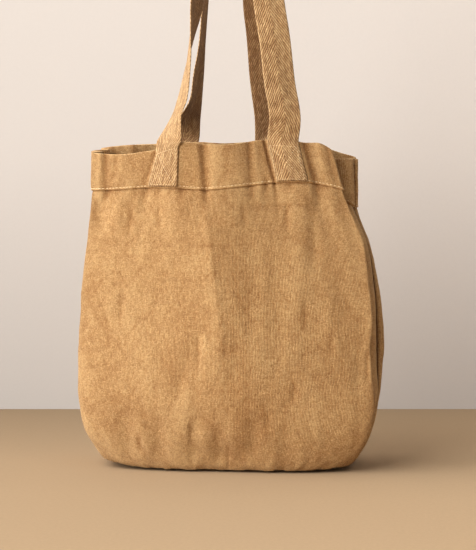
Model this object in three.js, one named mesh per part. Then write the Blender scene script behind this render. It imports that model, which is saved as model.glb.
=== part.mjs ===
// Linen tote bag with two webbing handles, standing open on its boxed base, in millimetres.
// X runs to the right, Y to the back and Z up. The origin is on the surface, under the bag.
// Two cloth panels meet at the side seams and along the middle of the base. Each has a deep
// turned hem, and a handle of flat webbing is sewn on the outside of each hem.
import * as THREE from "three";

// Cloth, seams and webbing
const CLOTH = 1.6;
const HEM_PROUD = 1.1;
const HEM_LEDGE = 1.4;
const HEM_FOOT = 352;
const SEAM_GAP = 0.3;
const WEBBING = { width: 39, thick: 2, lift: 0.45 };
// The tables are measured from the front crease's foot, and this puts the outline's middle at the origin
const TO_MIDDLE = { x: 6, y: 1.5 };

// The bag's outline at rising heights. On each side it has the reach of the front corner, of the
// side seam and of the back corner. front and back are the depths of the two faces, then come the
// rounding of the corners on each side, and how far the side seams are pinched in.
const SECTIONS = [
  { z: 0, leftFront: 163, leftSeam: 166, leftBack: 163, rightFront: 144, rightSeam: 148, rightBack: 145,
    front: 46, back: 46, leftRound: 34, rightRound: 24, tuck: 0 },
  { z: 5, leftFront: 170, leftSeam: 171, leftBack: 170, rightFront: 154, rightSeam: 155, rightBack: 156,
    front: 49, back: 49, leftRound: 32, rightRound: 22, tuck: 1 },
  { z: 22, leftFront: 179, leftSeam: 179, leftBack: 180, rightFront: 165, rightSeam: 165, rightBack: 168,
    front: 53, back: 53, leftRound: 28, rightRound: 22, tuck: 3 },
  { z: 50, leftFront: 193, leftSeam: 193, leftBack: 193, rightFront: 176, rightSeam: 176, rightBack: 180,
    front: 57, back: 57, leftRound: 26, rightRound: 24, tuck: 6 },
  { z: 95, leftFront: 202, leftSeam: 201, leftBack: 201, rightFront: 184, rightSeam: 184, rightBack: 190,
    front: 60, back: 60, leftRound: 30, rightRound: 26, tuck: 8 },
  { z: 160, leftFront: 202, leftSeam: 200, leftBack: 200, rightFront: 183, rightSeam: 182, rightBack: 197,
    front: 60, back: 60, leftRound: 32, rightRound: 26, tuck: 9 },
  { z: 230, leftFront: 198, leftSeam: 197, leftBack: 197, rightFront: 179, rightSeam: 179, rightBack: 189,
    front: 56, back: 57, leftRound: 32, rightRound: 26, tuck: 8 },
  { z: 285, leftFront: 192, leftSeam: 190, leftBack: 191, rightFront: 169, rightSeam: 170, rightBack: 176,
    front: 51, back: 52, leftRound: 30, rightRound: 26, tuck: 7 },
  { z: 328, leftFront: 187, leftSeam: 186, leftBack: 187, rightFront: 151, rightSeam: 154, rightBack: 161,
    front: 48, back: 49, leftRound: 26, rightRound: 22, tuck: 6 },
  { z: 352, leftFront: 185, leftSeam: 185, leftBack: 186, rightFront: 142, rightSeam: 153, rightBack: 161,
    front: 47, back: 47, leftRound: 24, rightRound: 18, tuck: 6 },
  { z: 410, leftFront: 184, leftSeam: 185, leftBack: 186, rightFront: 126, rightSeam: 152, rightBack: 161,
    front: 45, back: 45, leftRound: 24, rightRound: 18, tuck: 6 },
];
// The foot of each face bows outwards between its corners, up to this height
const FOOT_BOW = { out: 9, height: 230 };
const TUCK_WIDTH = 7;

// Each hem, by the distance run along it from the middle: the heights of its stitched foot and of
// its top edge, how far it folds out, and how far its top is drawn to the right.
const FRONT_HEM = [
  { run: -232, foot: 354, top: 404, out: 0, draw: 0 },
  { run: -196, foot: 353, top: 402, out: 0, draw: 0 },
  { run: -166, foot: 353, top: 400, out: -3, draw: 0 },
  { run: -140, foot: 354, top: 401, out: -1, draw: 4 },
  { run: -104, foot: 356, top: 406, out: -8, draw: 11 },
  { run: -66, foot: 355, top: 411, out: 9, draw: 1 },
  { run: -34, foot: 353, top: 409, out: -1, draw: 0 },
  { run: -4, foot: 355, top: 408, out: 4, draw: -1 },
  { run: 30, foot: 359, top: 412, out: -2, draw: -3 },
  { run: 56, foot: 362, top: 415, out: -5, draw: -3 },
  { run: 76, foot: 363, top: 414, out: 1, draw: -2 },
  { run: 96, foot: 362, top: 412, out: 2, draw: -1 },
  { run: 106, foot: 361, top: 411, out: -4, draw: -1 },
  { run: 122, foot: 358, top: 410, out: 1, draw: 0 },
  { run: 138, foot: 354, top: 402, out: 0, draw: 0 },
  { run: 150, foot: 349, top: 393, out: 0, draw: 0 },
  { run: 189, foot: 329, top: 392, out: 0, draw: 0 },
];
const BACK_HEM = [
  { run: -232, foot: 354, top: 404, out: 0, draw: 0 },
  { run: -190, foot: 357, top: 407, out: 2, draw: 0 },
  { run: -150, foot: 359, top: 409, out: -4, draw: 2 },
  { run: -108, foot: 361, top: 413, out: 1, draw: 6 },
  { run: -82, foot: 362, top: 416, out: 3, draw: 6 },
  { run: -56, foot: 361, top: 417, out: 0, draw: 5 },
  { run: -20, foot: 359, top: 415, out: -6, draw: 0 },
  { run: 16, foot: 361, top: 417, out: 2, draw: -4 },
  { run: 46, foot: 363, top: 419, out: 4, draw: -5 },
  { run: 76, foot: 362, top: 417, out: -2, draw: -5 },
  { run: 110, foot: 359, top: 411, out: -6, draw: -4 },
  { run: 146, foot: 352, top: 400, out: 1, draw: -2 },
  { run: 172, foot: 338, top: 394, out: 0, draw: 0 },
  { run: 208, foot: 329, top: 392, out: 0, draw: 0 },
];
const HEM_FADE = 62;

// Pressed middle crease of a panel: a ridge that leans as it rises, crisp above and soft below
const FRONT_CREASE = { footX: 14, lean: -0.12, out: 15, spread: 105, soft: 34 };
const BACK_CREASE = { footX: 4, lean: 0.02, out: 11, spread: 120, soft: 40 };

// Soft folds of each panel: place at the low end, sideways lean to the high end, width, and depth
const FRONT_FOLDS = [
  { x: -164, low: 292, high: 352, lean: -7, width: 9, out: -3.2 },
  { x: -146, low: 300, high: 350, lean: 4, width: 8, out: 1.6 },
  { x: -110, low: 318, high: 358, lean: 3, width: 7, out: -1.8 },
  { x: -70, low: 70, high: 176, lean: 24, width: 10, out: -2.6 },
  { x: -41, low: 84, high: 205, lean: 2, width: 8, out: -2.4 },
  { x: 3, low: 86, high: 196, lean: 4, width: 9, out: -2.6 },
  { x: 24, low: 120, high: 345, lean: 6, width: 11, out: -1.8 },
  { x: 58, low: 92, high: 330, lean: 0, width: 11, out: -2.6 },
  { x: 84, low: 150, high: 340, lean: 4, width: 10, out: 2.2 },
  { x: 103, low: 236, high: 366, lean: 0, width: 9, out: -4.2 },
  { x: 130, low: 132, high: 262, lean: -12, width: 12, out: 2.4 },
  { x: 158, low: 90, high: 172, lean: 4, width: 9, out: -3.4 },
  { x: -128, low: 8, high: 82, lean: -6, width: 10, out: -2.4 },
  { x: -88, low: 6, high: 70, lean: -3, width: 9, out: -2.2 },
  { x: -46, low: 6, high: 78, lean: 4, width: 9, out: -3 },
  { x: -12, low: 6, high: 66, lean: -3, width: 9, out: -3.2 },
  { x: 26, low: 8, high: 84, lean: 5, width: 10, out: -2.8 },
  { x: 70, low: 10, high: 70, lean: -4, width: 10, out: -1.8 },
];
const BACK_FOLDS = [
  { x: -150, low: 230, high: 352, lean: -4, width: 12, out: -3.4 },
  { x: -112, low: 180, high: 362, lean: 6, width: 12, out: -3 },
  { x: -58, low: 210, high: 364, lean: 2, width: 11, out: -2.8 },
  { x: -20, low: 250, high: 362, lean: 0, width: 13, out: -3.2 },
  { x: 84, low: 190, high: 360, lean: -6, width: 12, out: -3.2 },
  { x: 118, low: 240, high: 360, lean: -4, width: 11, out: -3.6 },
  { x: -90, low: 60, high: 190, lean: 18, width: 13, out: -2.4 },
  { x: 50, low: 70, high: 210, lean: 10, width: 13, out: -2.6 },
  { x: 132, low: 80, high: 200, lean: 6, width: 12, out: -2.6 },
  { x: -110, low: 6, high: 70, lean: -4, width: 11, out: -2.4 },
  { x: -30, low: 6, high: 74, lean: 4, width: 11, out: -2.8 },
  { x: 60, low: 6, high: 72, lean: -3, width: 11, out: -2.6 },
];

// Rows of each cloth from the middle of the base up: shares of the base, of the wall and of the hem
const BASE_ROWS = [1, 0.7, 0.35];
const FRONT_WALL = [0, 0.013, 0.034, 0.066, 0.11, 0.155, 0.205, 0.26, 0.32, 0.38, 0.44, 0.5, 0.56, 0.62, 0.68,
  0.74, 0.795, 0.845, 0.89, 0.93, 0.965];
const BACK_WALL = [0, 0.013, 0.04, 0.085, 0.14, 0.21, 0.29, 0.37, 0.45, 0.53, 0.61, 0.69, 0.77, 0.84, 0.9,
  0.955];
const HEM_ROWS = [0, 0.25, 0.5, 0.75, 1];
const BASE_END = 12;

// The panels: direction of their face, tables, places of the two handle ends, and column spacing
const FRONT = {
  name: "front_panel",
  face: "front",
  corner: "Front",
  facing: -1,
  hem: FRONT_HEM,
  crease: FRONT_CREASE,
  folds: FRONT_FOLDS,
  wall: FRONT_WALL,
  straps: [-85, 77],
  pitch: 10.5,
};
const BACK = {
  name: "back_panel",
  face: "back",
  corner: "Back",
  facing: 1,
  hem: BACK_HEM,
  crease: BACK_CREASE,
  folds: BACK_FOLDS,
  wall: BACK_WALL,
  straps: [-80, 46],
  pitch: 13,
};

// Routes of the handles above the hems, from the left leg over the top to the right leg.
// turn is the direction of the webbing's width: 0 points right, -90 to the front.
const FRONT_ROUTE = [
  { x: -70, y: -51, z: 443, turn: -62 },
  { x: -62, y: -49, z: 466, turn: -64 },
  { x: -55, y: -45, z: 508, turn: -74 },
  { x: -50, y: -39, z: 550, turn: -92 },
  { x: -45, y: -32, z: 590, turn: -107 },
  { x: -42, y: -26, z: 632, turn: -98 },
  { x: -29, y: -23, z: 673, turn: -90 },
  { x: 1, y: -23, z: 692, turn: -90 },
  { x: 31, y: -24, z: 674, turn: -96 },
  { x: 42, y: -30, z: 634, turn: -130 },
  { x: 46, y: -38, z: 588, turn: -170 },
  { x: 54, y: -44, z: 538, turn: -180 },
  { x: 60, y: -48, z: 487, turn: -180 },
  { x: 67, y: -51, z: 442, turn: -180 },
];
const BACK_ROUTE = [
  { x: -65, y: 51, z: 446, turn: 226 },
  { x: -56.5, y: 48, z: 472, turn: 253 },
  { x: -52, y: 43, z: 506, turn: 258 },
  { x: -47, y: 38, z: 542, turn: 265 },
  { x: -41, y: 29, z: 600, turn: 268 },
  { x: -36, y: 24, z: 640, turn: 270 },
  { x: -22, y: 23, z: 671, turn: 270 },
  { x: -4, y: 23, z: 682, turn: 270 },
  { x: 15, y: 23, z: 671, turn: 272 },
  { x: 24, y: 25, z: 640, turn: 300 },
  { x: 26, y: 31, z: 600, turn: 345 },
  { x: 31, y: 39, z: 556, turn: 358 },
  { x: 35, y: 46, z: 500, turn: 360 },
  { x: 41, y: 51, z: 450, turn: 360 },
];
const STEPS_PER_ROW = 4;
const STRAP_CELLS = 4;

// Colours of the dyed cloth and of the webbing
const LINEN = new THREE.MeshStandardMaterial({ color: 0xc0935c, roughness: 0.95, metalness: 0 });
const WEBBING_TAN = new THREE.MeshStandardMaterial({ color: 0xb38a58, roughness: 0.9, metalness: 0 });

// A smooth curve through one column of a table, by its first column: a cubic between rows,
// whose slope at a row is that of the line between its neighbours.
function along(table, column, at) {
  const key = Object.keys(table[0])[0];
  const last = table.length - 1;
  const x = THREE.MathUtils.clamp(at, table[0][key], table[last][key]);
  let i = 0;
  while (i < last - 1 && x > table[i + 1][key]) i += 1;
  const slope = (k) => {
    const before = table[Math.max(k - 1, 0)];
    const after = table[Math.min(k + 1, last)];
    return (after[column] - before[column]) / (after[key] - before[key]);
  };
  const span = table[i + 1][key] - table[i][key];
  const t = (x - table[i][key]) / span;
  const s = 1 - t;
  return (
    table[i][column] * (1 + 2 * t) * s * s +
    table[i + 1][column] * (3 - 2 * t) * t * t +
    slope(i) * span * t * s * s -
    slope(i + 1) * span * t * t * s
  );
}

const mound = (distance, width) => Math.exp(-((distance / width) ** 2));
const softMin = (a, b, round) => (a + b - Math.hypot(a - b, round)) / 2;

// A plan outline's point: the front half of a box with rounded corners, walked at an even pace.
// share runs from -1 at the left seam over 0 in the middle to 1 at the right seam.
function sectionPoint(panel, share, z) {
  const side = share < 0 ? "left" : "right";
  const reach = along(SECTIONS, side + panel.corner, z);
  const depth = along(SECTIONS, panel.face, z);
  const round = along(SECTIONS, side + "Round", z);
  const spare = (Math.hypot(depth, round) - depth) / 2;
  const walked = Math.abs(share) * (reach + depth);
  const left = reach + depth - walked;
  const smoothstep = THREE.MathUtils.smoothstep;
  const splay = (along(SECTIONS, side + "Seam", z) - reach) * smoothstep(1 - left / depth, 0, 1);
  const pinch = along(SECTIONS, "tuck", z) * mound(left, TUCK_WIDTH);
  const x = (softMin(walked, reach, round) * reach) / (reach - spare) + splay - pinch;
  const y = ((softMin(depth, left, round) + spare) * depth) / (depth + spare);
  const low = 1 - smoothstep(z, 0, FOOT_BOW.height);
  const bow = FOOT_BOW.out * low * Math.max(1 - (walked / reach) ** 2, 0);
  return { x: Math.sign(share) * x, out: y + bow, flat: smoothstep(left / depth, 0.25, 1.3) };
}

// How far the crease and the folds carry the cloth outwards at a place of the panel
function relief(panel, x, z) {
  const smoothstep = THREE.MathUtils.smoothstep;
  const c = panel.crease;
  const ridge = c.footX + c.lean * z;
  const soft = c.soft * smoothstep(250 - z, 0, 190) + 1;
  const rise = smoothstep(z, 0, 190) * (1 - 0.6 * smoothstep(z, 300, 400));
  let out = c.out * rise * Math.exp(-(Math.hypot(x - ridge, soft) - soft) / c.spread);
  for (const fold of panel.folds) {
    const up = (z - fold.low) / (fold.high - fold.low);
    const ends = smoothstep(up, 0, 0.35) * smoothstep(1 - up, 0, 0.35);
    out += fold.out * ends * mound(x - fold.x - fold.lean * up, fold.width);
  }
  return out;
}

// Length of a hem's foot from the middle to a side seam
function seamRun(panel, side) {
  return along(SECTIONS, side + panel.corner, HEM_FOOT) + along(SECTIONS, panel.face, HEM_FOOT);
}

// A point of the panel's cloth. run is the distance along the hem's foot from the middle.
// level is below 0 on the base, 0 to 1 up the wall and 1 to 2 up the hem.
function clothPoint(panel, run, level) {
  const foot = along(panel.hem, "foot", run);
  const top = along(panel.hem, "top", run);
  const side = run < 0 ? "left" : "right";
  const share = run / seamRun(panel, side);
  const inHem = THREE.MathUtils.clamp(level - 1, 0, 1);
  const z = level <= 1 ? Math.max(level, 0) * foot : foot + inHem * (top - foot);
  const section = sectionPoint(panel, share, z);
  const hemShare = level >= 1 ? 0.75 + 0.25 * inHem : 0.75 * mound(foot - z, HEM_FADE);
  const folded = relief(panel, section.x, z) + along(panel.hem, "out", run) * hemShare;
  const x = section.x + along(panel.hem, "draw", run) * inHem;
  const out = section.out + folded * section.flat;
  const half = SEAM_GAP / 2;
  const underneath = Math.max(-level, 0);
  const end = along(SECTIONS, side + "Seam", 0) - BASE_END;
  return new THREE.Vector3(
    THREE.MathUtils.lerp(x, share * end, underneath),
    panel.facing * (half + out * (1 - underneath)),
    z,
  );
}

// Column places along a panel: fine at the seams and at the handle ends, even between them
function columns(panel) {
  const ends = ["left", "right"].map((side) => seamRun(panel, side));
  const runs = [-ends[0], -ends[0] + 5, -ends[0] + 11];
  const stops = [];
  for (const middle of panel.straps)
    for (let i = 0; i <= STRAP_CELLS; i += 1) stops.push(middle + WEBBING.width * (i / STRAP_CELLS - 0.5));
  stops.push(ends[1] - 11);
  for (const stop of stops) {
    const from = runs[runs.length - 1];
    const cells = Math.max(Math.round((stop - from) / panel.pitch), 1);
    for (let i = 1; i <= cells; i += 1) runs.push(from + ((stop - from) * i) / cells);
  }
  return [...runs, ends[1] - 5, ends[1]];
}

// Normals of a grid of points, from the chords between each point's neighbours
function gridNormals(points) {
  return points.map((row, i) =>
    row.map((_, j) => {
      const up = points[Math.min(i + 1, points.length - 1)][j].clone().sub(points[Math.max(i - 1, 0)][j]);
      const over = row[Math.min(j + 1, row.length - 1)].clone().sub(row[Math.max(j - 1, 0)]);
      return over.cross(up).normalize();
    }),
  );
}

// One closed body between a grid's outer and inner faces. Quads left of the middle column turn
// their diagonal the other way, so no sliver forms at the corners of the base.
function sheetBody(outer, inner) {
  const rows = outer.length;
  const cols = outer[0].length;
  const positions = [...outer.flat(), ...inner.flat()].flatMap((p) => [p.x, p.y, p.z]);
  const faces = [];
  const id = (side, i, j) => side * rows * cols + i * cols + j;
  const quad = (a, b, c, d) => faces.push(a, b, c, a, c, d);
  for (let i = 0; i < rows - 1; i += 1)
    for (let j = 0; j < cols - 1; j += 1) {
      const near = [id(0, i, j), id(0, i, j + 1), id(0, i + 1, j + 1), id(0, i + 1, j)];
      const far = [id(1, i, j), id(1, i + 1, j), id(1, i + 1, j + 1), id(1, i, j + 1)];
      const leftHalf = j < (cols - 1) / 2;
      quad(...(leftHalf ? near : [near[1], near[2], near[3], near[0]]));
      quad(...(leftHalf ? far : [far[1], far[2], far[3], far[0]]));
    }
  for (let j = 0; j < cols - 1; j += 1) {
    quad(id(0, 0, j), id(1, 0, j), id(1, 0, j + 1), id(0, 0, j + 1));
    quad(id(0, rows - 1, j + 1), id(1, rows - 1, j + 1), id(1, rows - 1, j), id(0, rows - 1, j));
  }
  for (let i = 0; i < rows - 1; i += 1) {
    quad(id(0, i, 0), id(0, i + 1, 0), id(1, i + 1, 0), id(1, i, 0));
    quad(id(0, i, cols - 1), id(1, i, cols - 1), id(1, i + 1, cols - 1), id(0, i + 1, cols - 1));
  }
  const geometry = new THREE.BufferGeometry();
  geometry.setAttribute("position", new THREE.Float32BufferAttribute(positions, 3));
  geometry.setIndex(faces);
  geometry.computeVertexNormals();
  return geometry;
}

const shifted = (point, normal, by) => point.clone().addScaledVector(normal, by);

// The cloth surface of a panel on its grid, with outward normals that stay in the seams' planes
function panelGrid(panel) {
  const ledge = 1 - HEM_LEDGE / HEM_FOOT;
  const levels = [...BASE_ROWS.map((t) => -t), ...panel.wall, ledge, ...HEM_ROWS.map((h) => 1 + h)];
  const runs = columns(panel);
  if (panel.facing > 0) runs.reverse();
  const points = levels.map((level) => runs.map((run) => clothPoint(panel, run, level)));
  const normals = gridNormals(points);
  normals.forEach((row, i) => {
    for (const normal of [row[0], row[row.length - 1]]) normal.setY(0).normalize();
    if (levels[i] < 0) for (const normal of row) normal.set(0, 0, -1);
  });
  return { levels, runs, points, normals };
}

function makePanel(panel) {
  const { levels, points, normals } = panelGrid(panel);
  const offset = (by) => points.map((row, i) => row.map((p, j) => shifted(p, normals[i][j], by(levels[i]))));
  const outer = offset((level) => (level >= 1 ? HEM_PROUD : 0));
  const inner = offset(() => -CLOTH);
  const mesh = new THREE.Mesh(sheetBody(outer, inner), LINEN);
  mesh.name = panel.name;
  return mesh;
}

// Rows of the webbing's middle surface where it is sewn on the hem, from the foot to the top
function sewnRows(panel, grid, middle) {
  const rows = [];
  grid.levels.forEach((level, i) => {
    if (level < 1) return;
    const row = [];
    grid.runs.forEach((run, j) => {
      if (Math.abs(run - middle) > WEBBING.width / 2 + 0.01) return;
      const lift = HEM_PROUD + WEBBING.lift + WEBBING.thick / 2;
      row.push(shifted(grid.points[i][j], grid.normals[i][j], lift));
    });
    rows.push(row);
  });
  rows[0] = rows[0].map((p, j) => p.clone().lerp(rows[1][j], 0.02));
  return rows;
}

// Rows of the free webbing: a Catmull-Rom curve through the route, and a width direction that
// is turned in plan and kept square to the curve
function freeRows(route, first, last) {
  const state = (row) => {
    const width = row[row.length - 1].clone().sub(row[0]);
    const middle = row[0].clone().add(row[row.length - 1]).multiplyScalar(0.5);
    return { middle, width };
  };
  const start = state(first);
  const end = state(last);
  const bend = (d) => THREE.MathUtils.radToDeg(Math.atan2(d.y, d.x));
  const nearest = (angle, to) => angle + 360 * Math.round((to - angle) / 360);
  const turns = [
    nearest(bend(start.width), route[0].turn),
    ...route.map((r) => r.turn),
    nearest(bend(end.width), route[route.length - 1].turn),
  ];
  const places = [start.middle, ...route.map((r) => new THREE.Vector3(r.x, r.y, r.z)), end.middle];
  const curve = new THREE.CatmullRomCurve3(places, false, "centripetal");
  const steps = (places.length - 1) * STEPS_PER_ROW;
  const turnTable = turns.map((turn, at) => ({ at, turn }));
  const rows = [];
  for (let i = 1; i < steps; i += 1) {
    const middle = curve.getPoint(i / steps);
    const tangent = curve.getTangent(i / steps);
    const turn = THREE.MathUtils.degToRad(along(turnTable, "turn", i / STEPS_PER_ROW));
    const width = new THREE.Vector3(Math.cos(turn), Math.sin(turn), 0);
    width.addScaledVector(tangent, -width.dot(tangent)).normalize();
    const row = [];
    for (let j = 0; j <= STRAP_CELLS; j += 1)
      row.push(shifted(middle, width, WEBBING.width * (j / STRAP_CELLS - 0.5)));
    rows.push(row);
  }
  return rows;
}

function makeHandle(name, panel, route) {
  const grid = panelGrid(panel);
  const [leftEnd, rightEnd] = panel.straps.map((middle) => sewnRows(panel, grid, middle));
  const down = rightEnd.map((row) => [...row].reverse()).reverse();
  const rows = [...leftEnd, ...freeRows(route, leftEnd[leftEnd.length - 1], down[0]), ...down];
  const normals = gridNormals(rows);
  const offset = (by) => rows.map((row, i) => row.map((p, j) => shifted(p, normals[i][j], by)));
  const mesh = new THREE.Mesh(sheetBody(offset(WEBBING.thick / 2), offset(-WEBBING.thick / 2)), WEBBING_TAN);
  mesh.name = name;
  return mesh;
}

const bag = new THREE.Group();
bag.add(makePanel(FRONT), makePanel(BACK));
bag.add(makeHandle("front_handle", FRONT, FRONT_ROUTE), makeHandle("back_handle", BACK, BACK_ROUTE));
bag.position.set(TO_MIDDLE.x, TO_MIDDLE.y, 0);

export default bag;
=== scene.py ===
import bpy
import numpy as np
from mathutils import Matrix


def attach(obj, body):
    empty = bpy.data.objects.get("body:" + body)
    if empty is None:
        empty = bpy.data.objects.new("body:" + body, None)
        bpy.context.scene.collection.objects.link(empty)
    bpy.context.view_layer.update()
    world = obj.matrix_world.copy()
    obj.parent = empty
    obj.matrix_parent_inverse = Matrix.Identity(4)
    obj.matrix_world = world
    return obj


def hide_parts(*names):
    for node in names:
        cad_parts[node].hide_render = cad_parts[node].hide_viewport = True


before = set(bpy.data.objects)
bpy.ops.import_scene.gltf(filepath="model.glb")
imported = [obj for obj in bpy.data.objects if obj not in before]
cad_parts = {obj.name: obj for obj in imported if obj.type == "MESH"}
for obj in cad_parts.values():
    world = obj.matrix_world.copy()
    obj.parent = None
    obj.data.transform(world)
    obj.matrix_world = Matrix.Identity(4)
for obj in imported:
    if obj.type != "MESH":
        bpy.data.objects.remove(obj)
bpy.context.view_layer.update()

# Front panel
# The bag's face: one cut of heavy washed linen, in one with the front half of the base. Its top is
# turned outwards as a deep hem, stitched along its foot. It is sewn to the back panel along both
# sides and along the middle of the base. Sizes are in millimetres until the mesh is made.


def table(columns, rows):
    """Rows of numbers under named columns. The first column is the one that the others are read along"""
    return np.array(rows, dtype=[(name, float) for name in columns.split()])


# The bag in plan at each height: how far its two ends and its two faces lie from its middle, how round
# its corners are, and how deep the tuck at each seam and the fold down each gusset are
SECTIONS = table(
    "z left_front left_seam left_back right_front right_seam right_back front back"
    " left_round right_round tuck valley", [
    (0, 163, 166, 163, 144, 148, 145, 46, 46, 26, 16, 0, 0),
    (5, 170, 171, 170, 154, 155, 156, 49, 49, 24, 15, 1, 0),
    (22, 179, 179, 180, 165, 165, 168, 53, 53, 20, 12, 3, 1),
    (50, 193, 193, 193, 176, 176, 179, 57, 57, 17, 8, 7, 3),
    (95, 202, 201, 201, 182, 184, 188, 60, 60, 16, 6, 12, 7),
    (125, 202, 201, 201, 178, 183, 190.5, 60, 60, 16, 6, 13, 9),
    (155, 202, 200, 200, 176, 182, 193, 60, 60, 16, 6, 13, 9),
    (195, 200, 199, 199, 179, 181, 190.5, 58, 58, 16, 6, 13, 9),
    (230, 198, 197, 197, 175, 179, 185.5, 56, 57, 15, 6, 13, 9),
    (285, 192, 190, 191, 168, 170, 174, 51, 52, 14, 6, 11, 9),
    (328, 187, 186, 187, 151, 154, 158, 48, 49, 12, 5, 10, 11),
    (352, 185, 185, 186, 142, 153, 158, 47, 47, 10, 4, 10, 15),
    (410, 184, 185, 186, 126, 152, 158, 45, 45, 10, 4, 10, 17),
])
FRONT = {
    "face": "front",
    "facing": -1,
    "swell": 1,
    "gusset_shade": 0.55,
    "straps": (-85, 77),
    "seed": 11,
    "crease": {"foot_x": 14, "lean": -0.14, "out": 39, "left": 230, "right": 210, "soft": 30},
    "hem": table("run foot top out draw", [
        (-232, 354, 404, 0, 0), (-196, 353, 401, 0, 0), (-166, 353, 398, -2, 0),
        (-140, 354, 397, 0, 4), (-104, 356, 403, -1, 11), (-66, 355, 411, 5, 1),
        (-34, 353, 409, -1, 0), (-4, 355, 408, 4, -1), (30, 359, 412, -2, -5),
        (56, 362, 415, -5, -8), (76, 363, 414, 1, -7), (96, 362, 412, 2, -5),
        (106, 361, 411, -4, -1), (122, 358, 410, 1, 0), (138, 354, 402, 0, 0),
        (150, 349, 393, 0, 0), (189, 329, 392, 0, 0),
    ]),
    "folds": table("x low high lean width out", [
        (-40, 124, 178, 2, 3.2, -1.3), (-4, 140, 172, -2, 3.4, -1.3), (46, 52, 84, 2, 3.2, -1.3),
        (-3, 10, 42, 1, 3.2, -1.3), (-113, 20, 52, -3, 3.2, -1.2), (78, 82, 124, 3, 3.4, -1.2),
        (-50, 30, 66, 2, 3.2, -1.2), (-88, 302, 340, -3, 3.2, -1.1), (-130, 288, 334, 5, 3.4, -1.2),
        (93, 172, 226, -2, 3.4, -1.0), (124, 136, 190, 3, 3.4, -1.1), (68, 294, 342, 2, 3.4, -1.2),
        (18, 300, 340, -2, 3.2, -1.0), (-140, 186, 224, 3, 3.4, -1.1), (-164, 292, 352, -7, 9, -3.2),
        (-146, 300, 350, 4, 8, 1.6), (-110, 318, 358, 3, 7, -1.8), (-70, 70, 176, 24, 10, -1.8),
        (-41, 84, 205, 2, 8, -1.5), (3, 86, 196, 4, 9, -1.5), (24, 120, 345, 6, 11, -0.9),
        (58, 92, 330, 0, 12, -1.2), (84, 150, 340, 4, 11, 1.0), (103, 236, 366, 0, 8, -2.8),
        (130, 132, 262, -12, 13, 1.4), (158, 90, 172, 4, 9, -2.2), (-128, 8, 82, -6, 10, -2.4),
        (-88, 6, 70, -3, 9, -2.2), (-46, 6, 78, 4, 9, -3), (-12, 6, 66, -3, 9, -3.2),
        (-6, -40, 52, 0, 52, -6), (170, 104, 160, 0, 3, -2.6), (26, 8, 84, 5, 10, -2.8),
        (70, 10, 70, -4, 10, -1.8),
    ]),
    # Narrow pleats of the hem: place at its foot, sideways lean to its top, width and depth
    "pleats": table("run lean width out", [
        (-169, 0, 4, 1.2), (-160, -2, 4, -2), (-151, 2, 3, -0.8),
        (-111, 6, 4, -1.6), (-31, -4, 4.5, -3.2), (-20, 0, 6, 1.1),
        (-6, 3, 5, -0.7), (10, 2, 6, 0.6), (25, 5, 4.5, -2),
        (35, 4, 5, 0.9), (55, -1, 2.4, -5), (98, 2, 3.6, 1.6),
        (107, -5, 3.6, -3.2), (119, 0, 6, 0.9), (133, -2, 4, -0.9),
        (-190, 0, 6, -0.8), (160, 0, 5, -1),
    ]),
}


def along(rows, column, at):
    """A smooth curve through one column of a table: a cubic between two rows, whose slope at a row is that
    of the line between its neighbours"""
    key, value = rows[rows.dtype.names[0]], rows[column]
    before = np.maximum(np.arange(len(key)) - 1, 0)
    after = np.minimum(np.arange(len(key)) + 1, len(key) - 1)
    slope = (value[after] - value[before]) / (key[after] - key[before])
    at = np.clip(at, key[0], key[-1])
    i = np.clip(np.searchsorted(key, at, side="right") - 1, 0, len(key) - 2)
    span = key[i + 1] - key[i]
    t = (at - key[i]) / span
    s = 1 - t
    ends = value[i] * (1 + 2 * t) * s * s + value[i + 1] * (3 - 2 * t) * t * t
    return ends + slope[i] * span * t * s * s - slope[i + 1] * span * t * t * s


def ease(x, low=0.0, high=1.0):
    """0 below low and 1 above high, with a cubic between them that is level at both"""
    t = np.clip((x - low) / (high - low), 0, 1)
    return t * t * (3 - 2 * t)


def mound(distance, width):
    """A bell of height 1: e to the power of minus the squared distance in widths"""
    return np.exp(-((distance / width) ** 2))


def soft_min(a, b, rounding):
    """The lesser of two numbers, with the corner where they meet rounded off"""
    return (a + b - np.hypot(a - b, rounding)) / 2


def by_side(share, ending, z):
    """A column of SECTIONS for the left side where share is below 0 and for the right side elsewhere"""
    return np.where(share < 0, along(SECTIONS, "left_" + ending, z), along(SECTIONS, "right_" + ending, z))


# The tuck beside the seam, the gusset's fold, whose distance from the seam is in depths of the bag, the
# bow of the face above the base, and the distance from the seam, in depths, where the folds come in
TUCK_WIDTH = 2.8
VALLEY = {"from_seam": 0.6, "width": 12}
FOOT_BOW = {"out": 19, "height": 230}
FOLDS_FROM = (0.25, 1.3)


def section(panel, share, z):
    """A point of a plan outline, half of a box with rounded corners walked at an even pace: x, the distance
    out from the seams' plane, and how much of the face's folds the place takes. share runs from -1 at the
    left seam to 1 at the right one"""
    reach, depth = by_side(share, panel["face"], z), along(SECTIONS, panel["face"], z)
    corner = by_side(share, "round", z)
    spare = (np.hypot(depth, corner) - depth) / 2
    walked = np.abs(share) * (reach + depth)
    left = reach + depth - walked
    splay = (by_side(share, "seam", z) - reach) * ease(1 - left / depth / panel["swell"])
    pinch = along(SECTIONS, "tuck", z) * mound(left, TUCK_WIDTH)
    pinch = pinch + along(SECTIONS, "valley", z) * mound(left - VALLEY["from_seam"] * depth, VALLEY["width"])
    middle = soft_min(0, reach, corner) * np.clip(1 - walked / reach, 0, 1)
    x = (soft_min(walked, reach, corner) - middle) * reach / (reach - spare) + splay - pinch
    y = (soft_min(depth, left, corner) + spare) * depth / (depth + spare)
    bow = FOOT_BOW["out"] * (1 - ease(z, 0, FOOT_BOW["height"])) * np.maximum(1 - (walked / reach) ** 2, 0)
    return np.sign(share) * x, y + bow, ease(left / depth, *FOLDS_FROM)


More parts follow.
